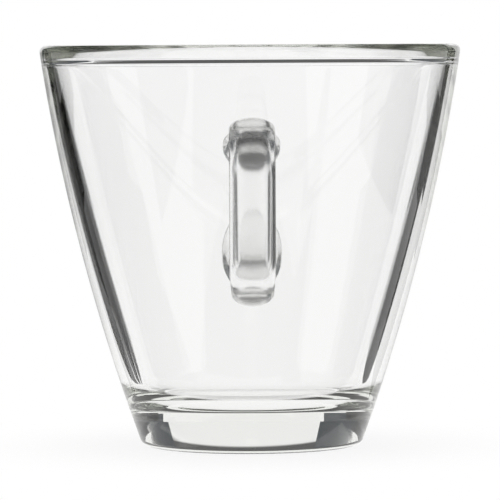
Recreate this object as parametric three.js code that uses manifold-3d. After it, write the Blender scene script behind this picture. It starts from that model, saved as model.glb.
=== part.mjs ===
// Coffee glass: a pressed conical bowl with a thick solid base, and a strap handle fused to its wall.
// Millimetres, +Z up. The origin is the middle of the underside, and the handle points along -Y.

import * as THREE from 'three';
import { mergeVertices } from 'three/addons/utils/BufferGeometryUtils.js';
import Module from 'manifold-3d';

// Bowl: the outer wall is a slightly swelling cone, and the inner wall runs closer to it near the rim
const HEIGHT = 86;              // table to rim
const MOUTH_RADIUS = 45.3;      // outer wall carried up to the rim plane
const FOOT_RADIUS = 23.5;       // outer wall carried down to the table
const WALL_BULGE = 2.25;        // swell of the outer wall past a straight cone
const FLOOR_THICKNESS = 9.6;    // solid base under the drink
const RIM_WALL = 3;             // wall thickness at the rim
const MIDDLE_WALL = 4.4;        // wall thickness half way up the inside
const FOOT_WALL = 4.9;          // wall thickness at the inner floor
const HEEL_ROUND = 2.2;         // outer edge of the base
const RIM_OUTER_ROUND = 1.7;    // outer edge of the lip
const RIM_INNER_ROUND = 1.1;    // inner edge of the lip
const FLOOR_ROUND = 5;          // inner corner between floor and wall

// Handle: a strap of rounded section that arches up from the wall, drops and rises back to it
const HANDLE_DROP = 14.7;       // rim down to the top of the handle
const HANDLE_HEIGHT = 38.1;     // top of the handle to its bottom
const HANDLE_REACH = 27;        // wall to the front of the handle, half way down the handle
const STRAP_WIDTH = 9.2;
const STRAP_THICKNESS = 5.4;
const STRAP_EDGE_ROUND = 2.2;
const UPPER_BEND = 9;           // bend radii at the middle of the strap
const LOWER_BEND = 8.6;
const UPPER_FOOT_DROP = 6.9;    // top of the handle down to the middle of its upper foot
const LOWER_FOOT_RISE = 10.1;   // bottom of the handle up to the middle of its lower foot
const UPPER_FOOT_WIDTH = 11.2;  // the strap flares where it is fused to the wall
const UPPER_FOOT_HEIGHT = 9;
const LOWER_FOOT_WIDTH = 12.3;
const LOWER_FOOT_HEIGHT = 11.6;
const FOOT_FLARE = 5;           // length over which the strap flares
const JOIN_GAP = 0.3;           // between the handle's feet and the wall

// Facets
const ROUND_SEGMENTS = 72;
const WALL_STEPS = 10;
const EDGE_STEPS = 4;
const FLOOR_ROUND_STEPS = 5;
const STRAP_STEPS = 52;
const STRAP_CORNER_STEPS = 4;

const wasm = await Module();
wasm.setup();

// Circle through the ends of a chord, swelling outwards by the bulge
function swellingCircle(low, high, bulge) {
  const chord = high.clone().sub(low);
  const half = chord.length() / 2;
  const radius = (half * half + bulge * bulge) / (2 * bulge);
  const outwards = new THREE.Vector2(chord.y, -chord.x).normalize();
  const centre = low.clone().add(high).multiplyScalar(0.5).addScaledVector(outwards, bulge - radius);
  return { centre, radius };
}

// Circle through three points
function circleThrough(a, b, c) {
  const ab = b.clone().sub(a);
  const ac = c.clone().sub(a);
  const twiceArea = 2 * ab.cross(ac);
  const offset = new THREE.Vector2(
    (ac.y * ab.lengthSq() - ab.y * ac.lengthSq()) / twiceArea,
    (ab.x * ac.lengthSq() - ac.x * ab.lengthSq()) / twiceArea
  );
  return { centre: a.clone().add(offset), radius: offset.length() };
}

// Radius of a wall, given as a circle in the section plane, at a height
function radiusAt(wall, z) {
  const rise = z - wall.centre.y;
  return wall.centre.x + Math.sqrt(wall.radius * wall.radius - rise * rise);
}

// Round between a wall and a level plane: above or below the plane, inside or outside the wall's circle
function cornerRound(wall, planeZ, radius, upOrDown, inOrOut) {
  const z = planeZ + upOrDown * radius;
  const reach = wall.radius - inOrOut * radius;
  const rise = z - wall.centre.y;
  const centre = new THREE.Vector2(wall.centre.x + Math.sqrt(reach * reach - rise * rise), z);
  const wallAngle = Math.atan2(rise, centre.x - wall.centre.x);
  return { centre, radius, wallAngle };
}

function arcPoints(circle, fromAngle, toAngle, steps) {
  const clockwise = toAngle < fromAngle;
  const { centre, radius } = circle;
  return new THREE.EllipseCurve(
    centre.x, centre.y, radius, radius, fromAngle, toAngle, clockwise
  ).getPoints(steps);
}

// The section of the bowl, radius across and height up

const UP = 1;
const DOWN = -1;
const IN = 1;
const OUT = -1;

const outerWall = swellingCircle(
  new THREE.Vector2(FOOT_RADIUS, 0), new THREE.Vector2(MOUTH_RADIUS, HEIGHT), WALL_BULGE
);

function innerWallPoint(z, wall) {
  return new THREE.Vector2(radiusAt(outerWall, z) - wall, z);
}

const innerWall = circleThrough(
  innerWallPoint(FLOOR_THICKNESS, FOOT_WALL),
  innerWallPoint((FLOOR_THICKNESS + HEIGHT) / 2, MIDDLE_WALL),
  innerWallPoint(HEIGHT, RIM_WALL)
);

// The two rounds of the lip share the wall between them
const lipShare = Math.min(1, 0.9 * RIM_WALL / (RIM_OUTER_ROUND + RIM_INNER_ROUND));
const heel = cornerRound(outerWall, 0, HEEL_ROUND, UP, IN);
const lipOuter = cornerRound(outerWall, HEIGHT, RIM_OUTER_ROUND * lipShare, DOWN, IN);
const lipInner = cornerRound(innerWall, HEIGHT, RIM_INNER_ROUND * lipShare, DOWN, OUT);
const floorCorner = cornerRound(innerWall, FLOOR_THICKNESS, FLOOR_ROUND, UP, IN);

function outerSection() {
  return [
    new THREE.Vector2(0, 0),
    ...arcPoints(heel, -Math.PI / 2, heel.wallAngle, EDGE_STEPS),
    ...arcPoints(outerWall, heel.wallAngle, lipOuter.wallAngle, WALL_STEPS).slice(1),
    ...arcPoints(lipOuter, lipOuter.wallAngle, Math.PI / 2, EDGE_STEPS).slice(1)
  ];
}

function innerSection() {
  return [
    ...arcPoints(lipInner, Math.PI / 2, Math.PI + lipInner.wallAngle, EDGE_STEPS),
    ...arcPoints(innerWall, lipInner.wallAngle, floorCorner.wallAngle, WALL_STEPS).slice(1),
    ...arcPoints(floorCorner, floorCorner.wallAngle, -Math.PI / 2, FLOOR_ROUND_STEPS).slice(1),
    new THREE.Vector2(0, FLOOR_THICKNESS)
  ];
}

// A section turned about the Z axis
function turned(section) {
  const geometry = new THREE.LatheGeometry(section, ROUND_SEGMENTS);
  geometry.rotateX(Math.PI / 2);
  return geometry;
}

// Solid bodies for the cut between the handle and the wall
function toSolid(geometry) {
  const bare = geometry.clone();
  bare.deleteAttribute('normal');
  bare.deleteAttribute('uv');
  const merged = mergeVertices(bare);
  const index = merged.index.array;
  const triangles = [];
  for (let i = 0; i < index.length; i += 3) {
    const [a, b, c] = index.slice(i, i + 3);
    if (a !== b && b !== c && c !== a) {
      triangles.push(a, b, c);
    }
  }
  return new wasm.Manifold(new wasm.Mesh({
    numProp: 3,
    vertProperties: new Float32Array(merged.attributes.position.array),
    triVerts: new Uint32Array(triangles)
  }));
}

function toGeometry(solid) {
  const mesh = solid.getMesh();
  const geometry = new THREE.BufferGeometry();
  geometry.setAttribute('position', new THREE.BufferAttribute(mesh.vertProperties, 3));
  geometry.setIndex(new THREE.BufferAttribute(mesh.triVerts, 1));
  geometry.computeVertexNormals();
  return geometry;
}

// The middle line of the handle, as distance out from the axis and height

// Point where the line from a foot touches a bend: on its upper side or its lower side
function touchPoint(foot, bend, upOrDown) {
  const toBend = bend.centre.clone().sub(foot);
  const distance = toBend.length();
  const direction = toBend.angle() + upOrDown * Math.asin(bend.radius / distance);
  const length = Math.sqrt(distance * distance - bend.radius * bend.radius);
  return foot.clone().add(new THREE.Vector2(length, 0).rotateAround(new THREE.Vector2(), direction));
}

// The foot continues into the wall, as far as the wall is thick, so that the cut reaches all of it
function rootPoint(foot, touch) {
  return foot.clone().addScaledVector(touch.clone().sub(foot).normalize(), -FOOT_WALL);
}

function angleFrom(centre, point) {
  return point.clone().sub(centre).angle();
}

function handleLine() {
  const top = HEIGHT - HANDLE_DROP;
  const bottom = top - HANDLE_HEIGHT;
  const half = STRAP_THICKNESS / 2;
  const front = radiusAt(outerWall, (top + bottom) / 2) + HANDLE_REACH - half;
  const upperFootZ = top - UPPER_FOOT_DROP;
  const lowerFootZ = bottom + LOWER_FOOT_RISE;
  const upperFoot = new THREE.Vector2(radiusAt(outerWall, upperFootZ), upperFootZ);
  const lowerFoot = new THREE.Vector2(radiusAt(outerWall, lowerFootZ), lowerFootZ);
  const upperBend = {
    centre: new THREE.Vector2(front - UPPER_BEND, top - half - UPPER_BEND),
    radius: UPPER_BEND
  };
  const lowerBend = {
    centre: new THREE.Vector2(front - LOWER_BEND, bottom + half + LOWER_BEND),
    radius: LOWER_BEND
  };
  const upperTouch = touchPoint(upperFoot, upperBend, UP);
  const lowerTouch = touchPoint(lowerFoot, lowerBend, DOWN);
  const upperRoot = rootPoint(upperFoot, upperTouch);
  const lowerRoot = rootPoint(lowerFoot, lowerTouch);

  const line = new THREE.Path();
  line.moveTo(upperRoot.x, upperRoot.y);
  line.lineTo(upperTouch.x, upperTouch.y);
  line.absarc(
    upperBend.centre.x, upperBend.centre.y, UPPER_BEND, angleFrom(upperBend.centre, upperTouch), 0, true
  );
  line.absarc(
    lowerBend.centre.x, lowerBend.centre.y, LOWER_BEND, 0, angleFrom(lowerBend.centre, lowerTouch), true
  );
  line.lineTo(lowerRoot.x, lowerRoot.y);
  return line;
}

// Share of the flare at a distance along the line from the root in the wall
function flareAt(distance) {
  const clear = THREE.MathUtils.clamp((distance - FOOT_WALL) / FOOT_FLARE, 0, 1);
  return (1 - clear) * (1 - clear);
}

// Rounded rectangle, across the strap and through its thickness
function strapSection(width, thickness) {
  const round = Math.min(STRAP_EDGE_ROUND, width / 2, thickness / 2);
  const points = [];
  for (let corner = 0; corner < 4; corner += 1) {
    const turn = corner * Math.PI / 2;
    const acrossSign = corner === 0 || corner === 3 ? 1 : -1;
    const throughSign = corner < 2 ? 1 : -1;
    for (let step = 0; step <= STRAP_CORNER_STEPS; step += 1) {
      const angle = turn + step / STRAP_CORNER_STEPS * Math.PI / 2;
      points.push(new THREE.Vector2(
        acrossSign * (width / 2 - round) + round * Math.cos(angle),
        throughSign * (thickness / 2 - round) + round * Math.sin(angle)
      ));
    }
  }
  return points;
}

// The strap swept along its line in the plane of the handle, flaring at both roots
function strapGeometry() {
  const line = handleLine();
  const length = line.getLength();
  const positions = [];
  const triangles = [];
  let count = 0;
  for (let ring = 0; ring <= STRAP_STEPS; ring += 1) {
    const share = ring / STRAP_STEPS;
    const point = line.getPointAt(share);
    const along = line.getTangentAt(share);
    const upperFlare = flareAt(share * length);
    const lowerFlare = flareAt((1 - share) * length);
    const width = STRAP_WIDTH + (UPPER_FOOT_WIDTH - STRAP_WIDTH) * upperFlare
      + (LOWER_FOOT_WIDTH - STRAP_WIDTH) * lowerFlare;
    const thickness = STRAP_THICKNESS + (UPPER_FOOT_HEIGHT - STRAP_THICKNESS) * upperFlare
      + (LOWER_FOOT_HEIGHT - STRAP_THICKNESS) * lowerFlare;
    const section = strapSection(width, thickness);
    count = section.length;
    for (const { x: across, y: through } of section) {
      positions.push(across, -(point.x - along.y * through), point.y + along.x * through);
    }
  }
  for (let ring = 0; ring < STRAP_STEPS; ring += 1) {
    for (let side = 0; side < count; side += 1) {
      const here = ring * count + side;
      const next = ring * count + (side + 1) % count;
      triangles.push(here, next, here + count, next, next + count, here + count);
    }
  }
  const last = STRAP_STEPS * count;
  for (let side = 1; side < count - 1; side += 1) {
    triangles.push(0, side + 1, side, last, last + side, last + side + 1);
  }
  const geometry = new THREE.BufferGeometry();
  geometry.setAttribute('position', new THREE.Float32BufferAttribute(positions, 3));
  geometry.setIndex(triangles);
  return geometry;
}

// The space that the bowl takes up, grown by the gap, with no hollow
function wallCutter() {
  const grown = outerSection().map((point, i) => (i === 0
    ? new THREE.Vector2(0, -JOIN_GAP)
    : point.clone().add(new THREE.Vector2(JOIN_GAP, 0))));
  grown[1].y -= JOIN_GAP;
  grown.push(new THREE.Vector2(0, HEIGHT));
  return turned(grown);
}

function handleGeometry() {
  return toGeometry(toSolid(strapGeometry()).subtract(toSolid(wallCutter())));
}

// Clear soda-lime glass, faintly grey-green where it is thick
function clearGlass() {
  return new THREE.MeshStandardMaterial({
    color: 0xe9efec, roughness: 0.04, metalness: 0, transparent: true, opacity: 0.35
  });
}

function piece(name, geometry) {
  const mesh = new THREE.Mesh(geometry, clearGlass());
  mesh.name = name;
  return mesh;
}

const coffeeGlass = new THREE.Group();
coffeeGlass.add(piece('bowl', turned([...outerSection(), ...innerSection()])));
coffeeGlass.add(piece('handle', handleGeometry()));

export default coffeeGlass;
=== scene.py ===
"""Clear pressed-glass coffee mug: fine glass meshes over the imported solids, in a plain studio."""
import math
from typing import NamedTuple

import bmesh
import bpy
from bpy.props import FloatProperty, IntProperty, PointerProperty, StringProperty
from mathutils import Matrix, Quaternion, Vector


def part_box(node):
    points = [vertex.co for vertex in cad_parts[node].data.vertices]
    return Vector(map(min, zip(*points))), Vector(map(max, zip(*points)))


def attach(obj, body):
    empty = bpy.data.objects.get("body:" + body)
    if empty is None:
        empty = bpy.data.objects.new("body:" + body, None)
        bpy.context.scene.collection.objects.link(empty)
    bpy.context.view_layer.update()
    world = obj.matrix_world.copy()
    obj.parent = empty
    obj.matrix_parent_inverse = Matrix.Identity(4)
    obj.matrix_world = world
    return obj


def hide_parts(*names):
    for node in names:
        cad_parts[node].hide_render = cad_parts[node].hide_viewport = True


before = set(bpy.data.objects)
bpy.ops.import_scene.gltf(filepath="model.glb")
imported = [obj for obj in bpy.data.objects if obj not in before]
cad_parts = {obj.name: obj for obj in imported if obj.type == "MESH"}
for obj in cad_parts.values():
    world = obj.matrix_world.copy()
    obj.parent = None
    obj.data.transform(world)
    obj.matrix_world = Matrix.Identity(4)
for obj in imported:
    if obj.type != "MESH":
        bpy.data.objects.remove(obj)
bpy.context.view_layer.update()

bl_info = {
    "name": "Coffee glass",
    "version": (1, 0, 0),
    "blender": (4, 5, 0),
    "location": "View3D > Sidebar > Coffee glass",
    "description": "Models a pressed-glass coffee mug with a fused strap handle in a plain studio",
    "category": "Object",
}

MM = 0.001
MERGE_DISTANCE = 0.001 * MM
TOLERANCE = 0.01 * MM
BODY = "root"
BOWL_LOW, BOWL_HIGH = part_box("bowl")
HANDLE_LOW, HANDLE_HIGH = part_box("handle")


def length(name, description, millimetres):
    """A size in millimetres as a length property."""
    return FloatProperty(
        name=name, description=description, default=millimetres * MM, unit="LENGTH", precision=5
    )


def angle(name, description, degrees):
    """An angle in degrees as an angle property."""
    return FloatProperty(name=name, description=description, default=math.radians(degrees), subtype="ANGLE")


def measured(name, description, metres):
    """A size that the frame gives, as a length property."""
    return length(name, description, metres / MM)


def shade(name, description, hex_value):
    """A colour given as an sRGB hex value."""
    return StringProperty(name=name, description=description, default=hex_value)


def linear(hex_value):
    """Turns an sRGB hex value into linear RGBA."""
    channels = [int(hex_value[i:i + 2], 16) / 255 for i in (1, 3, 5)]
    return [c / 12.92 if c <= 0.04045 else ((c + 0.055) / 1.055) ** 2.4 for c in channels] + [1.0]


class BowlSizes(bpy.types.PropertyGroup):
    """Sizes of the pressed bowl."""

    height: measured("Height", "Table to rim", BOWL_HIGH[2])
    mouth_radius: length("Mouth radius", "Outer wall carried up to the rim plane", 45.3)
    foot_radius: length("Foot radius", "Outer wall carried down to the table", 23.5)
    wall_bulge: length("Wall bulge", "Swell of the outer wall past a straight cone", 2.25)
    floor_thickness: length("Floor thickness", "Solid base under the drink", 9.6)
    rim_wall: length("Rim wall", "Wall thickness at the rim", 2.4)
    middle_wall: length("Middle wall", "Wall thickness half way up the inside", 4.4)
    foot_wall: length("Foot wall", "Wall thickness at the inner floor", 4.9)
    heel_round: length("Heel round", "Round at the outer edge of the base", 2.2)
    rim_outer_round: length("Outer lip round", "Round at the outer edge of the lip", 1.4)
    rim_inner_round: length("Inner lip round", "Round at the inner edge of the lip", 0.5)
    floor_round: length("Floor round", "Inner corner between floor and wall", 8.0)
    seam_drop: length("Seam drop", "Rim down to the ledge of the lip inside", 3.3)
    seam_height: length("Seam height", "Height of that ledge", 0.95)
    seam_proud: length("Seam proud", "How far the lip stands into the mouth over the ledge", 0.63)
    trace_drop: length("Trace drop", "Rim down to the faint ring outside", 4.1)
    trace_height: length("Trace height", "Height of the faint ring outside", 0.5)
    trace_proud: length("Trace proud", "How far the faint outer ring stands out", 0.03)
    turns: IntProperty(name="Turns", description="Steps round the axis", default=192)


class HandleSizes(bpy.types.PropertyGroup):
    """Sizes of the strap handle."""

    top: measured("Top", "Top of the handle", HANDLE_HIGH[2])
    bottom: measured("Bottom", "Bottom of the handle", HANDLE_LOW[2])
    front: measured("Front", "Axis to the front of the handle", -HANDLE_LOW[1])
    strap_width: length("Strap width", "Across the strap", 9.35)
    strap_thickness: length("Strap thickness", "Through the middle of the strap", 4.8)
    bottom_width: length("Bottom width", "Across the strap at its lowest point", 8.6)
    bottom_thickness: length("Bottom thickness", "Through the strap at its lowest point", 5.0)
    upper_bend: length("Upper bend", "Bend radius at the middle of the strap", 9.6)
    lower_bend: length("Lower bend", "Bend radius at the middle of the strap", 7.6)
    upper_foot_drop: length("Upper foot drop", "Top of the handle to its upper foot", 5.9)
    lower_foot_rise: length("Lower foot rise", "Bottom of the handle to its lower foot", 9.5)
    upper_foot_width: length("Upper foot width", "Width where the strap is fused on", 11.8)
    upper_foot_height: length("Upper foot height", "Height where the strap is fused on", 9.0)
    lower_foot_width: length("Lower foot width", "Width where the strap is fused on", 12.4)
    lower_foot_height: length("Lower foot height", "Height where the strap is fused on", 19.0)
    flare: length("Flare", "Length over which the strap flares", 6.5)
    root: length("Root", "How far the foot starts inside the wall before it is cut", 4.9)
    sink: length("Sink", "How deep the cut foot lies in the wall", 0.25)
    seam_width: length("Seam width", "Half width of the mould seam along the strap", 0.2)
    seam_proud: length("Seam proud", "How far the strap's mould seam stands out", 0.06)


class GlassLook(bpy.types.PropertyGroup):
    """Look of the glass."""

    skin: shade("Skin", "What one surface lets through", "#FDFDFD")
    tint: shade("Tint", "Colour of thick glass", "#D3D6CA")
    density: FloatProperty(name="Density", description="Absorption per metre", default=7.5)
    ior: FloatProperty(name="IOR", description="Refractive index of soda-lime glass", default=1.52)
    ripple: length("Ripple", "Size of the pressed surface's faint ripple", 14.0)
    ripple_depth: length("Ripple depth", "Height of that ripple", 0.2)
    polish: FloatProperty(name="Polish", description="Roughness of the fire-polished bowl", default=0.02)
    chill: FloatProperty(
        name="Chill", description="Roughness of the handle, chilled by its mould", default=0.16
    )


class StageLook(bpy.types.PropertyGroup):
    """Floor and camera."""

    floor_colour: shade("Floor colour", "Pale paper sweep", "#F4F4F2")
    camera_distance: length("Camera distance", "Camera to the axis of the bowl", 918.0)
    camera_height: length("Camera height", "Camera over the table", 86.0)
    lens: FloatProperty(name="Lens", description="Focal length in mm", default=308.0)
    camera_drop: angle("Camera drop", "Tilt below level", 2.75)
    camera_swing: angle("Camera swing", "Turn round the glass, to its left", 0.33)
    camera_roll: angle("Camera roll", "Roll about the view, clockwise", 0.3)
    camera_aim: angle("Camera aim", "Turn to the left of the axis", 0.012)


# Section of the bowl

WALL_STEPS = 72
EDGE_STEPS = 20
FLAT_STEPS = 10
SEAM_STEPS = 8


class Wall:
    """A wall as a circle in the section plane, radius across and height up."""

    def __init__(self, centre, radius):
        self.centre = centre
        self.radius = radius

    def reach(self, z):
        """Radius of the wall at a height."""
        rise = z - self.centre[1]
        return self.centre[0] + math.sqrt(self.radius ** 2 - rise ** 2)


def swelling_wall(low, high, bulge):
    """Circle through the ends of a chord, swelling outwards by the bulge."""
    across, up = high[0] - low[0], high[1] - low[1]
    chord = math.hypot(across, up)
    radius = ((chord / 2) ** 2 + bulge ** 2) / (2 * bulge)
    back = (bulge - radius) / chord
    return Wall(((low[0] + high[0]) / 2 + up * back, (low[1] + high[1]) / 2 - across * back), radius)


def wall_through(a, b, c):
    """Circle through three points."""
    ab = (b[0] - a[0], b[1] - a[1])
    ac = (c[0] - a[0], c[1] - a[1])
    twice_area = 2 * (ab[0] * ac[1] - ab[1] * ac[0])
    ab_square = ab[0] ** 2 + ab[1] ** 2
    ac_square = ac[0] ** 2 + ac[1] ** 2
    across = (ac[1] * ab_square - ab[1] * ac_square) / twice_area
    up = (ab[0] * ac_square - ac[0] * ab_square) / twice_area
    return Wall((a[0] + across, a[1] + up), math.hypot(across, up))


def corner_round(wall, plane_z, radius, side, inside):
    """Round between a wall and a level plane: its centre and the angle where it meets the wall."""
    z = plane_z + side * radius
    reach = wall.radius - inside * radius
    rise = z - wall.centre[1]
    centre = (wall.centre[0] + math.sqrt(reach ** 2 - rise ** 2), z)
    return centre, math.atan2(rise, centre[0] - wall.centre[0])


def arc(centre, radius, start, end, steps):
    """Points along an arc, both ends included."""
    angles = [start + (end - start) * i / steps for i in range(steps + 1)]
    return [(centre[0] + radius * math.cos(a), centre[1] + radius * math.sin(a)) for a in angles]


def spread(start, end, steps):
    """Evenly spread values, both ends included."""
    return [start + (end - start) * i / steps for i in range(steps + 1)]


def bowl_walls(sizes):
    """Outer and inner wall of the bowl."""
    outer = swelling_wall((sizes.foot_radius, 0), (sizes.mouth_radius, sizes.height), sizes.wall_bulge)
    middle = (sizes.floor_thickness + sizes.height) / 2
    stops = (
        (sizes.floor_thickness, sizes.foot_wall),
        (middle, sizes.middle_wall),
        (sizes.height, sizes.rim_wall),
    )
    inner = wall_through(*[(outer.reach(z) - wall, z) for z, wall in stops])
    return outer, inner


def ridge(z, middle, height, proud):
    """Swell of a rounded seam at a height."""
    off = (z - middle) / height
    return proud * (1 + math.cos(2 * math.pi * off)) / 2 if abs(off) < 0.5 else 0.0


def ledge(z, middle, height, proud, fade):
    """Swell of a lip that starts with a straight ledge and fades out above it."""
    low, high = middle - height / 2, middle + height / 2
    if z < high:
        return proud * max(z - low, 0) / height
    return proud * (1 - ease(min((z - high) / fade, 1)))


def ease(share):
    """Smooth step from 0 to 1."""
    share = min(max(share, 0), 1)
    return share * share * (3 - 2 * share)


def wall_heights(wall, low, high, middle, height):
    """Heights up a wall between two angles, closer together at a seam."""
    ends = [wall.centre[1] + wall.radius * math.sin(angle) for angle in (low, high)]
    seam = spread(middle - height / 2, middle + height / 2, SEAM_STEPS)
    rest = [z for z in spread(*ends, WALL_STEPS)[1:-1] if not seam[0] <= z <= seam[-1]]
    return [ends[0], *sorted(rest + seam), ends[1]]


def bowl_section(sizes):
    """Section from the middle of the underside round the wall and lip to the middle of the floor."""
    outer, inner = bowl_walls(sizes)
    up, down, inside, outside = 1, -1, 1, -1
    heel, heel_angle = corner_round(outer, 0, sizes.heel_round, up, inside)
    lip_out, lip_out_angle = corner_round(outer, sizes.height, sizes.rim_outer_round, down, inside)
    lip_in, lip_in_angle = corner_round(inner, sizes.height, sizes.rim_inner_round, down, outside)
    corner, corner_angle = corner_round(inner, sizes.floor_thickness, sizes.floor_round, up, inside)
    quarter = math.pi / 2
    trace = sizes.height - sizes.trace_drop
    seam = sizes.height - sizes.seam_drop
    points = [(r, 0.0) for r in spread(0, heel[0], FLAT_STEPS)]
    points += arc(heel, sizes.heel_round, -quarter, heel_angle, EDGE_STEPS)[1:-1]
    for z in wall_heights(outer, heel_angle, lip_out_angle, trace, sizes.trace_height):
        points.append((outer.reach(z) + ridge(z, trace, sizes.trace_height, sizes.trace_proud), z))
    points += arc(lip_out, sizes.rim_outer_round, lip_out_angle, quarter, EDGE_STEPS)[1:]
    points += arc(lip_in, sizes.rim_inner_round, quarter, math.pi + lip_in_angle, EDGE_STEPS)[:-1]
    heights = wall_heights(inner, corner_angle, lip_in_angle, seam, sizes.seam_height)
    fade = heights[-1] - seam - sizes.seam_height / 2
    for z in reversed(heights):
        points.append((inner.reach(z) - ledge(z, seam, sizes.seam_height, sizes.seam_proud, fade), z))
    points += arc(corner, sizes.floor_round, corner_angle, -quarter, EDGE_STEPS)[1:]
    points += [(r, sizes.floor_thickness) for r in spread(corner[0], 0, FLAT_STEPS)[1:]]
    return points


# Modelling


def start_mesh(name, add, **settings):
    """Adds a primitive with nothing else selected and opens it for editing."""
    bpy.ops.object.select_all(action="DESELECT")
    add(**settings)
    piece = bpy.context.object
    piece.name = piece.data.name = name
    bpy.ops.object.mode_set(mode="EDIT")
    bpy.ops.mesh.select_all(action="SELECT")
    return piece


def draw_line(points):
    """Draws a line from the selected vertex at the origin, which becomes its first point."""
    bpy.ops.transform.translate(value=points[0])
    for here, there in zip(points, points[1:]):
        bpy.ops.mesh.extrude_vertices_move(TRANSFORM_OT_translate={"value": there - here})


def turn_section(name, points, steps):
    """Draws a section vertex by vertex in the XZ plane and spins it round the Z axis."""
    piece = start_mesh(name, bpy.ops.mesh.primitive_plane_add, size=MM)
    bpy.ops.mesh.merge(type="CENTER")
    draw_line([Vector((radius, 0, z)) for radius, z in points])
    bpy.ops.mesh.select_all(action="SELECT")
    bpy.ops.mesh.spin(steps=steps, angle=2 * math.pi, center=(0, 0, 0), axis=(0, 0, 1))
    close_mesh()
    return piece


def close_mesh():
    """Merges doubles, turns the faces outwards and leaves edit mode."""
    bpy.ops.mesh.select_all(action="SELECT")
    bpy.ops.mesh.remove_doubles(threshold=MERGE_DISTANCE)
    bpy.ops.mesh.normals_make_consistent(inside=False)
    bpy.ops.object.mode_set(mode="OBJECT")


def place_piece(piece, node, material, smooth_angle):
    """Smooths a finished piece, gives it its glass and ties it to the frame."""
    bpy.ops.object.select_all(action="DESELECT")
    bpy.context.view_layer.objects.active = piece
    piece.select_set(True)
    bpy.ops.object.shade_smooth_by_angle(angle=smooth_angle)
    piece.data.materials.clear()
    piece.data.materials.append(material)
    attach(piece, BODY)
    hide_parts(node)


# Glass

RIPPLE_STRENGTH = 0.02
BOWL_CREASE = math.radians(60)
HANDLE_CREASE = math.radians(40)


def add_node(tree, kind, inputs=(), **settings):
    """Adds a node, sets its options and sets or links its inputs."""
    node = tree.nodes.new(kind)
    for name, value in settings.items():
        setattr(node, name, value)
    for socket, value in dict(inputs).items():
        if isinstance(value, bpy.types.NodeSocket):
            tree.links.new(value, node.inputs[socket])
        else:
            node.inputs[socket].default_value = value
    return node


def soda_lime_glass(look, name, roughness):
    """Pressed soda-lime glass: clear, bending what lies behind it, and grey-green where it is thick."""
    material = bpy.data.materials.new(name)
    material.use_nodes = True
    tree = material.node_tree
    tree.nodes.clear()
    place = add_node(tree, "ShaderNodeTexCoord").outputs["Object"]
    # The mould leaves a slow ripple, which makes the edges that show in the glass waver a little.
    ripple = add_node(tree, "ShaderNodeTexNoise", {
        "Vector": place, "Scale": 1 / look.ripple, "Detail": 1.0,
    })
    bump = add_node(tree, "ShaderNodeBump", {
        "Height": ripple.outputs["Fac"], "Strength": RIPPLE_STRENGTH, "Distance": look.ripple_depth,
    })
    shader = add_node(tree, "ShaderNodeBsdfPrincipled", {
        "Base Color": linear(look.skin), "Roughness": roughness, "IOR": look.ior,
        "Transmission Weight": 1.0, "Normal": bump.outputs["Normal"],
    })
    # Iron in the glass takes a little red and blue out of light on a long way through it.
    depth = add_node(tree, "ShaderNodeVolumeAbsorption", {
        "Color": linear(look.tint), "Density": look.density,
    })
    add_node(tree, "ShaderNodeOutputMaterial", {
        "Surface": shader.outputs["BSDF"], "Volume": depth.outputs["Volume"],
    })
    return material


class OBJECT_OT_coffee_glass_bowl(bpy.types.Operator):
    """Turn the pressed bowl with its lip, the ledge inside it and its solid base"""

    bl_idname = "object.coffee_glass_bowl"
    bl_label = "Bowl"

    def execute(self, context):
        sizes = context.scene.coffee_bowl
        bowl = turn_section("glass_bowl", bowl_section(sizes), sizes.turns)
        look = context.scene.coffee_look
        glass = soda_lime_glass(look, "pressed soda-lime glass bowl", look.polish)
        place_piece(bowl, "bowl", glass, BOWL_CREASE)
        return {"FINISHED"}


# Handle

LIMB_STEPS = 30
BEND_STEPS = 36
FRONT_STEPS = 6
SECTION_POINTS = 64


class Bend:
    """A bend of the strap's middle line, seen from the side: distance out from the axis and height."""

    def __init__(self, out, z, radius):
        self.centre = Vector((out, z))
        self.radius = radius

    def touch(self, foot, side):
        """Point where a straight line from the foot touches the bend, on its upper or lower side."""
        to_bend = self.centre - foot
        angle = math.atan2(to_bend.y, to_bend.x) + side * math.asin(self.radius / to_bend.length)
        reach = math.sqrt(to_bend.length_squared - self.radius ** 2)
        return foot + reach * Vector((math.cos(angle), math.sin(angle)))


def in_frame(point):
    """A point of the handle's side view, in the row's frame."""
    return Vector((0, -point.x, point.y))


class Station:
    """One section of the strap: its middle in the side view, the way the strap runs there and its size."""

    def __init__(self, middle, heading, size):
        self.middle = in_frame(middle)
        self.heading = heading
        self.along = in_frame(Vector((math.cos(heading), math.sin(heading))))
        self.width, self.thickness = size

    def turn_back(self):
        """Turns the way round, for a strap that runs in towards the wall."""
        self.heading -= math.pi
        self.along = -self.along


def blend(start, end, share):
    """Size between two sizes."""
    return [a + (b - a) * share for a, b in zip(start, end)]


def limb_stations(root, end, foot, plain, wide, flare):
    """Stations of a straight limb from its root in the wall outwards, flared near the wall."""
    heading = math.atan2(end.y - root.y, end.x - root.x)
    way = (end - root).normalized()
    stations = []
    for share in spread(0, 1, LIMB_STEPS):
        middle = root.lerp(end, share)
        clear = min(max((middle - foot).dot(way) / flare, 0), 1)
        stations.append(Station(middle, heading, blend(plain, wide, (1 - clear) ** 2)))
    return stations


def bend_stations(bend, start, end, first, last):
    """Stations round a bend, between two headings, easing from one size to another by the lowest point."""
    stations = []
    for share in spread(0, 1, BEND_STEPS):
        heading = start + (end - start) * share
        middle = bend.centre + bend.radius * Vector((-math.sin(heading), math.cos(heading)))
        turned = (start - heading) / (math.pi / 2)
        stations.append(Station(middle, heading, blend(first, last, ease(turned))))
    return stations


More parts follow.
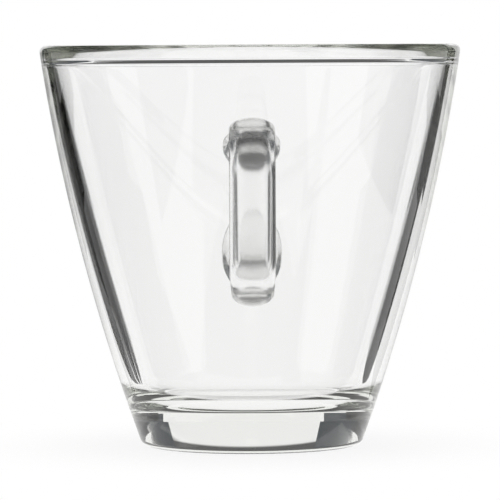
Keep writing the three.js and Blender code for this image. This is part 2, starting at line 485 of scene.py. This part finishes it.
def strap_stations(sizes, wall):
    """Stations of the strap from its upper root over both bends to its lower root."""
    plain = (sizes.strap_width, sizes.strap_thickness)
    bottom = (sizes.bottom_width, sizes.bottom_thickness)
    front = sizes.front - sizes.strap_thickness / 2
    feet = [sizes.top - sizes.upper_foot_drop, sizes.bottom + sizes.lower_foot_rise]
    upper_foot, lower_foot = [Vector((wall.reach(z), z)) for z in feet]
    upper_bend = Bend(
        front - sizes.upper_bend, sizes.top - sizes.strap_thickness / 2 - sizes.upper_bend, sizes.upper_bend
    )
    lower_bend = Bend(
        front - sizes.lower_bend, sizes.bottom + sizes.bottom_thickness / 2 + sizes.lower_bend,
        sizes.lower_bend
    )
    upper_touch = upper_bend.touch(upper_foot, 1)
    lower_touch = lower_bend.touch(lower_foot, -1)
    upper_root = upper_foot - (upper_touch - upper_foot).normalized() * sizes.root
    lower_root = lower_foot - (lower_touch - lower_foot).normalized() * sizes.root
    upper_size = (sizes.upper_foot_width, sizes.upper_foot_height)
    lower_size = (sizes.lower_foot_width, sizes.lower_foot_height)

    upper_limb = limb_stations(upper_root, upper_touch, upper_foot, plain, upper_size, sizes.flare)
    lower_limb = limb_stations(lower_root, lower_touch, lower_foot, bottom, lower_size, sizes.flare)
    down = -math.pi / 2
    back = lower_limb[0].heading - math.pi
    upper = bend_stations(upper_bend, upper_limb[-1].heading, down, plain, plain)
    lower = bend_stations(lower_bend, down, back, plain, bottom)
    ends = [Vector((front, bend.centre.y)) for bend in (upper_bend, lower_bend)]
    straight = [Station(ends[0].lerp(ends[1], i / FRONT_STEPS), down, plain) for i in range(1, FRONT_STEPS)]
    for station in lower_limb:
        station.turn_back()
    return [*upper_limb, *upper[1:], *straight, *lower, *lower_limb[-2::-1]]


def pick_points(piece, wanted):
    """Selects the vertices whose place is wanted."""
    bpy.ops.mesh.select_mode(type="VERT")
    bpy.ops.mesh.select_all(action="DESELECT")
    mesh = bmesh.from_edit_mesh(piece.data)
    for vertex in mesh.verts:
        vertex.select_set(wanted(vertex.co))
    mesh.select_flush_mode()
    bmesh.update_edit_mesh(piece.data)


def raise_seam(section, sizes, side):
    """Raises a thin mould seam in the middle of one broad side of the section."""
    def at_seam(place):
        return abs(place.x) < TOLERANCE and side * place.y > 0

    pick_points(section, at_seam)
    bpy.ops.mesh.bevel(offset=sizes.seam_width, segments=2, affect="VERTICES")
    pick_points(section, at_seam)
    bpy.ops.transform.translate(value=(0, side * sizes.seam_proud, 0))


def draw_strap_section(name, sizes):
    """Oval strap section in the XY plane, with a mould seam along the middle of both broad sides."""
    strap = start_mesh(
        name, bpy.ops.mesh.primitive_circle_add, vertices=SECTION_POINTS, radius=0.5, fill_type="NGON"
    )
    bpy.ops.transform.resize(value=(sizes.strap_width, sizes.strap_thickness, 1))
    for side in (1, -1):
        raise_seam(strap, sizes, side)
    bpy.ops.mesh.select_all(action="SELECT")
    return strap


def size_section(station, ratio_across, ratio_through):
    """Scales the selected end of the strap across and through, about its own middle."""
    through = Vector((0, station.along.z, -station.along.y))
    bpy.ops.transform.resize(
        value=(ratio_across, ratio_through, 1), orient_type="GLOBAL",
        orient_matrix=(Vector((1, 0, 0)), through, station.along), orient_matrix_type="GLOBAL",
        center_override=station.middle
    )


def sweep_strap(sizes, wall):
    """The whole strap from root to root, before its feet are cut."""
    stations = strap_stations(sizes, wall)
    strap = draw_strap_section("glass_handle", sizes)
    first = stations[0]
    bpy.ops.transform.resize(
        value=(first.width / sizes.strap_width, first.thickness / sizes.strap_thickness, 1)
    )
    bpy.ops.transform.rotate(value=first.heading - math.pi / 2, orient_axis="X", center_override=(0, 0, 0))
    bpy.ops.transform.translate(value=first.middle)
    for here, there in zip(stations, stations[1:]):
        bpy.ops.mesh.extrude_region_move(TRANSFORM_OT_translate={"value": there.middle - here.middle})
        bpy.ops.transform.rotate(
            value=there.heading - here.heading, orient_axis="X", center_override=there.middle
        )
        size_section(there, there.width / here.width, there.thickness / here.thickness)
    close_mesh()
    return strap


def cut_feet(strap, sizes, bowl_sizes, wall):
    """Cuts both feet along the wall, a little under its surface, so that they look fused to it."""
    heights = spread(0, bowl_sizes.height, WALL_STEPS)
    skin = [(wall.reach(z) - sizes.sink, z) for z in heights]
    core = turn_section("wall_core", [(0, 0), *skin, (0, bowl_sizes.height)], bowl_sizes.turns)
    bpy.ops.object.select_all(action="DESELECT")
    bpy.context.view_layer.objects.active = strap
    strap.select_set(True)
    cut = strap.modifiers.new("feet", "BOOLEAN")
    cut.operation = "DIFFERENCE"
    cut.solver = "EXACT"
    cut.object = core
    bpy.ops.object.modifier_apply(modifier=cut.name)
    if not strap.data.polygons:
        raise RuntimeError("the feet of the handle could not be cut to the wall")
    spare = core.data
    bpy.data.objects.remove(core)
    bpy.data.meshes.remove(spare)


class OBJECT_OT_coffee_glass_handle(bpy.types.Operator):
    """Sweep the strap handle and cut its feet to the wall"""

    bl_idname = "object.coffee_glass_handle"
    bl_label = "Handle"

    def execute(self, context):
        sizes = context.scene.coffee_handle
        bowl_sizes = context.scene.coffee_bowl
        wall, _ = bowl_walls(bowl_sizes)
        strap = sweep_strap(sizes, wall)
        cut_feet(strap, sizes, bowl_sizes, wall)
        look = context.scene.coffee_look
        glass = soda_lime_glass(look, "pressed soda-lime glass handle", look.chill)
        place_piece(strap, "handle", glass, HANDLE_CREASE)
        return {"FINISHED"}


# Stage

WHITE = "#FFFFFF"
FLOOR_RADIUS = 6.0
FLOOR_STEPS = 96
FLOOR_DROP = 0.2 * MM
SHADOW_SPAN = (25 * MM, 75 * MM)
SHADOW_SHARE = 0.9
# Painted shade on the paper as the outer wall mirrors it: the span it grows over, the side, and its share
# on the left and right.
MIRROR_SPAN = (60 * MM, 200 * MM)
MIRROR_SIDE = 100 * MM
MIRROR_PAINTED_SHADE = (0.45, 0.15)
CEILING_EDGE = 0.297
CEILING_BLUR = 0.003
CEILING_CURVE = 0.28
CEILING_LIGHT = 0.09
LAMP_HEIGHT = 1.1
LAMP_SIZE = 0.8
LAMP_POWER = 11
SENSOR_WIDTH = 36
BOUNCES = 128


def paper_sweep(colour):
    """White paper: a soft shadow under the glass, plain white further out and through the glass, and
    painted shade where the outer wall mirrors it.
    """
    material = bpy.data.materials.new("white paper sweep")
    material.use_nodes = True
    tree = material.node_tree
    tree.nodes.clear()
    place = add_node(tree, "ShaderNodeTexCoord").outputs["Object"]
    away = add_node(tree, "ShaderNodeVectorMath", {0: place}, operation="LENGTH").outputs["Value"]
    path = add_node(tree, "ShaderNodeLightPath").outputs
    # The camera sees the shadow only close to the glass.
    plain = add_node(tree, "ShaderNodeMapRange", {
        "Value": away, "From Min": SHADOW_SPAN[0], "From Max": SHADOW_SPAN[1],
        "To Min": SHADOW_SHARE, "To Max": 1.0,
    }, interpolation_type="SMOOTHSTEP")
    direct = add_node(tree, "ShaderNodeMath", {
        0: path["Is Camera Ray"], 1: plain.outputs["Result"],
    }, operation="MULTIPLY")
    through = add_node(tree, "ShaderNodeMath", {
        0: path["Is Transmission Ray"], 1: path["Is Glossy Ray"],
    }, operation="MAXIMUM")
    share = add_node(tree, "ShaderNodeMath", {
        0: direct.outputs[0], 1: through.outputs[0],
    }, operation="MAXIMUM")
    # Painted shade: mirrored in the outer wall, the paper's glow is turned down with its distance, more so
    # on the left.
    across = add_node(tree, "ShaderNodeSeparateXYZ", {0: place})
    side = add_node(tree, "ShaderNodeMapRange", {
        "Value": across.outputs["X"], "From Min": -MIRROR_SIDE, "From Max": MIRROR_SIDE,
        "To Min": MIRROR_PAINTED_SHADE[0], "To Max": MIRROR_PAINTED_SHADE[1],
    })
    falling = add_node(tree, "ShaderNodeMapRange", {
        "Value": away, "From Min": MIRROR_SPAN[0], "From Max": MIRROR_SPAN[1],
        "To Min": 0.0, "To Max": side.outputs["Result"],
    })
    mirrored = add_node(tree, "ShaderNodeMath", {
        0: path["Is Glossy Ray"], 1: path["Is Transmission Ray"],
    }, operation="SUBTRACT", use_clamp=True)
    painted_shade = add_node(tree, "ShaderNodeMath", {
        0: mirrored.outputs[0], 1: falling.outputs["Result"],
    }, operation="MULTIPLY")
    strength = add_node(tree, "ShaderNodeMath", {0: 1.0, 1: painted_shade.outputs[0]}, operation="SUBTRACT")
    paper = add_node(tree, "ShaderNodeBsdfDiffuse", {"Color": linear(colour)})
    white = add_node(tree, "ShaderNodeEmission", {"Color": linear(WHITE), "Strength": strength.outputs[0]})
    mix = add_node(tree, "ShaderNodeMixShader", {
        0: share.outputs[0], 1: paper.outputs[0], 2: white.outputs[0],
    })
    add_node(tree, "ShaderNodeOutputMaterial", {"Surface": mix.outputs[0]})
    return material


def tent_world():
    """White walls all round up to a low height, under a darker ceiling, and white to the camera."""
    world = bpy.data.worlds.new("white walls and dark ceiling")
    bpy.context.scene.world = world
    world.use_nodes = True
    tree = world.node_tree
    tree.nodes.clear()
    way = add_node(tree, "ShaderNodeTexCoord").outputs["Generated"]
    parts = add_node(tree, "ShaderNodeSeparateXYZ", {0: way})
    # The ceiling's edge is higher at both sides, so it shows curved in the base.
    side = add_node(tree, "ShaderNodeMath", {0: parts.outputs["X"], 1: 2.0}, operation="POWER")
    rise = add_node(tree, "ShaderNodeMath", {
        0: side.outputs[0], 1: -CEILING_CURVE, 2: parts.outputs["Z"],
    }, operation="MULTIPLY_ADD")
    light = add_node(tree, "ShaderNodeMapRange", {
        "Value": rise.outputs[0], "From Min": CEILING_EDGE - CEILING_BLUR,
        "From Max": CEILING_EDGE + CEILING_BLUR, "To Min": 1.0, "To Max": CEILING_LIGHT,
    }, interpolation_type="SMOOTHSTEP")
    path = add_node(tree, "ShaderNodeLightPath")
    strength = add_node(tree, "ShaderNodeMath", {
        0: light.outputs["Result"], 1: path.outputs["Is Camera Ray"],
    }, operation="MAXIMUM")
    sky = add_node(tree, "ShaderNodeBackground", {"Color": linear(WHITE), "Strength": strength.outputs[0]})
    add_node(tree, "ShaderNodeOutputWorld", {"Surface": sky.outputs[0]})


class Card(NamedTuple):
    """An upright card that only shows in the glass, with its line on the floor and its heights in mm.

    Light meets it once the glass has turned that light back so many times. A card that isn't reflected
    shows through the glass only. The far upper corner leans along the line by so many mm, and a dark strip
    of painted shadow runs from the card to a tip near the glass.
    """

    start: tuple
    end: tuple
    heights: tuple
    colour: str
    turns: int = 1
    reflected: bool = True
    lean: float = 0
    footing_tip: tuple = ()


BAND_HEIGHTS = (0, 84)
LOW_HEIGHTS = (0, 42)
WING_HEIGHTS = (50, 340)
# Some cards end in the tip of a dark strip on the floor, a painted shadow in the card's own tone.
CARDS = {
    "card_right": Card((80, 26), (80, 66), BAND_HEIGHTS, "#1A1A1A", lean=-8, footing_tip=(46, 14)),
    "card_right_deep": Card((80, 66), (80, 320), BAND_HEIGHTS, "#BEBEBE", turns=2),
    "card_right_low": Card((232, 137), (145, 213), LOW_HEIGHTS, "#1C1C1C", turns=0),
    "card_left_near": Card((-80, 30), (-80, 41), BAND_HEIGHTS, "#5A5A5A", footing_tip=(-48, 12)),
    "card_left_black": Card((-80, 41), (-80, 61), BAND_HEIGHTS, "#000000", footing_tip=(-48, 14)),
    "card_left_far": Card(
        (-80, 61), (-80, 112), BAND_HEIGHTS, "#202020", reflected=False, footing_tip=(-48, 17)
    ),
    "card_left_deep": Card((-80, 112), (-80, 320), BAND_HEIGHTS, "#101010", turns=2),
    "card_left_low": Card((-232, 137), (-145, 213), LOW_HEIGHTS, "#1C1C1C", turns=0),
    "card_front_right": Card((150, -70), (150, 40), (0, 90), "#3A3A3A", reflected=False),
    "card_front_left": Card((-100, -148), (-100, -60), (0, 110), "#2B2B2B", turns=0, reflected=False),
    "wing_right": Card((640, 170), (341, 514), WING_HEIGHTS, "#44484C", turns=0),
    "wing_left": Card((-640, 170), (-253, 567), WING_HEIGHTS, "#44484C", turns=0),
}


def card_stock(name, card):
    """Matt card of one even tone, clear to light that the glass hasn't turned back often enough."""
    material = bpy.data.materials.new(name)
    material.use_nodes = True
    tree = material.node_tree
    tree.nodes.clear()
    shader = add_node(tree, "ShaderNodeEmission", {"Color": linear(card.colour), "Strength": 1.0})
    if card.turns:
        path = add_node(tree, "ShaderNodeLightPath")
        turned = add_node(tree, "ShaderNodeMath", {
            0: path.outputs["Glossy Depth"], 1: card.turns - 0.5,
        }, operation="GREATER_THAN")
        clear = add_node(tree, "ShaderNodeBsdfTransparent")
        shader = add_node(tree, "ShaderNodeMixShader", {
            0: turned.outputs[0], 1: clear.outputs[0], 2: shader.outputs[0],
        })
    add_node(tree, "ShaderNodeOutputMaterial", {"Surface": shader.outputs[0]})
    return material


def stand_card(name, card):
    """Stands a card over its line on the floor, with its far upper corner leaning along that line."""
    start, end = [Vector((*point, card.heights[0])) * MM for point in (card.start, card.end)]
    run = end - start
    rise = (card.heights[1] - card.heights[0]) * MM
    board = start_mesh(name, bpy.ops.mesh.primitive_plane_add, size=1)
    bpy.ops.transform.resize(value=(run.length, rise, 1))
    bpy.ops.transform.translate(value=(run.length / 2, rise / 2, 0))
    pick_points(board, lambda place: place.x > run.length / 2 and place.y > rise / 2)
    bpy.ops.transform.translate(value=(card.lean * MM, 0, 0))
    bpy.ops.mesh.select_all(action="SELECT")
    bpy.ops.transform.rotate(value=-math.pi / 2, orient_axis="X", center_override=(0, 0, 0))
    bpy.ops.transform.rotate(value=-math.atan2(run.y, run.x), orient_axis="Z", center_override=(0, 0, 0))
    bpy.ops.transform.translate(value=start)
    return board


def lay_painted_shadow(name, card):
    """Lays a pointed dark piece on the floor, from the foot of a card towards the glass, as the card's
    painted shadow.
    """
    board = start_mesh(name, bpy.ops.mesh.primitive_plane_add, size=MM)
    bpy.ops.mesh.merge(type="CENTER")
    corners = (card.start, card.end, card.footing_tip)
    draw_line([Vector((*corner, 0)) * MM + Vector((0, 0, FLOOR_DROP)) for corner in corners])
    bpy.ops.mesh.select_all(action="SELECT")
    bpy.ops.mesh.edge_face_add()
    return board


def show_in_glass(board, card, stock):
    """Finishes a board that only shows in the glass."""
    bpy.ops.object.mode_set(mode="OBJECT")
    board.data.materials.append(stock)
    board.visible_camera = False
    board.visible_diffuse = False
    board.visible_shadow = False
    board.visible_glossy = card.reflected


def add_cards():
    """Stands all the cards, with the painted shadows that some of them lay on the floor."""
    for name, card in CARDS.items():
        stock = card_stock("matt " + name, card)
        show_in_glass(stand_card(name, card), card, stock)
        # Painted shadow: a dark piece in the card's tone on the floor by its foot.
        if card.footing_tip:
            show_in_glass(lay_painted_shadow(name.replace("card", "footing"), card), card, stock)


def add_floor(look):
    """Lays the paper just under the glass."""
    floor = start_mesh(
        "paper_floor", bpy.ops.mesh.primitive_circle_add, vertices=FLOOR_STEPS, radius=FLOOR_RADIUS,
        fill_type="NGON"
    )
    bpy.ops.transform.translate(value=(0, 0, -FLOOR_DROP))
    bpy.ops.object.mode_set(mode="OBJECT")
    floor.data.materials.append(paper_sweep(look.floor_colour))


def add_softbox():
    """Hangs a square area lamp over the glass, facing down and itself unseen."""
    lamp = bpy.data.lights.new("top_softbox", "AREA")
    lamp.shape = "SQUARE"
    lamp.size = LAMP_SIZE
    lamp.energy = LAMP_POWER
    box = bpy.data.objects.new("top_softbox", lamp)
    bpy.context.collection.objects.link(box)
    box.location = (0, 0, LAMP_HEIGHT)
    box.visible_camera = False
    box.visible_glossy = False
    box.visible_transmission = False


def add_camera(look):
    """Camera level with the rim, in front of the handle, tilted down to the middle of the glass."""
    lens = bpy.data.cameras.new("camera")
    lens.lens = look.lens
    lens.sensor_width = SENSOR_WIDTH
    camera = bpy.data.objects.new("camera", lens)
    bpy.context.collection.objects.link(camera)
    camera.location = (
        -look.camera_distance * math.sin(look.camera_swing),
        -look.camera_distance * math.cos(look.camera_swing),
        look.camera_height,
    )
    pan = Quaternion((0, 0, 1), look.camera_aim - look.camera_swing)
    turn = pan @ Quaternion((1, 0, 0), math.pi / 2 - look.camera_drop)
    camera.rotation_euler = (turn @ Quaternion((0, 0, 1), -look.camera_roll)).to_euler()
    bpy.context.scene.camera = camera


class OBJECT_OT_coffee_glass_stage(bpy.types.Operator):
    """Lay the paper, stand the cards, hang the lamp and set the camera"""

    bl_idname = "object.coffee_glass_stage"
    bl_label = "Stage"

    def execute(self, context):
        scene = context.scene
        add_camera(scene.coffee_stage)
        add_floor(scene.coffee_stage)
        add_cards()
        tent_world()
        add_softbox()
        scene.view_settings.view_transform = "Standard"
        scene.cycles.max_bounces = BOUNCES
        scene.cycles.transmission_bounces = BOUNCES
        scene.cycles.glossy_bounces = BOUNCES
        return {"FINISHED"}


class VIEW3D_PT_coffee_glass(bpy.types.Panel):
    """Lists the pieces of the coffee glass"""

    bl_label = "Coffee glass"
    bl_space_type = "VIEW_3D"
    bl_region_type = "UI"
    bl_category = "Coffee glass"

    def draw(self, context):
        for step in STEPS:
            self.layout.operator(step.bl_idname)
        for owner in GROUPS:
            group = getattr(context.scene, owner)
            for name in group.__annotations__:
                self.layout.prop(group, name)


STEPS = (OBJECT_OT_coffee_glass_stage, OBJECT_OT_coffee_glass_bowl, OBJECT_OT_coffee_glass_handle)
GROUPS = {
    "coffee_bowl": BowlSizes, "coffee_handle": HandleSizes, "coffee_look": GlassLook,
    "coffee_stage": StageLook,
}
CLASSES = (*GROUPS.values(), *STEPS, VIEW3D_PT_coffee_glass)


def register():
    """Registers the classes and hangs the property groups on the scene."""
    for cls in CLASSES:
        bpy.utils.register_class(cls)
    for owner, group in GROUPS.items():
        setattr(bpy.types.Scene, owner, PointerProperty(type=group))


def unregister():
    """Takes the property groups and classes away again."""
    for owner in GROUPS:
        delattr(bpy.types.Scene, owner)
    for cls in reversed(CLASSES):
        bpy.utils.unregister_class(cls)


def main():
    """Builds the stage and the glass."""
    register()
    bpy.ops.object.coffee_glass_stage()
    bpy.ops.object.coffee_glass_bowl()
    bpy.ops.object.coffee_glass_handle()


if __name__ == "__main__":
    main()
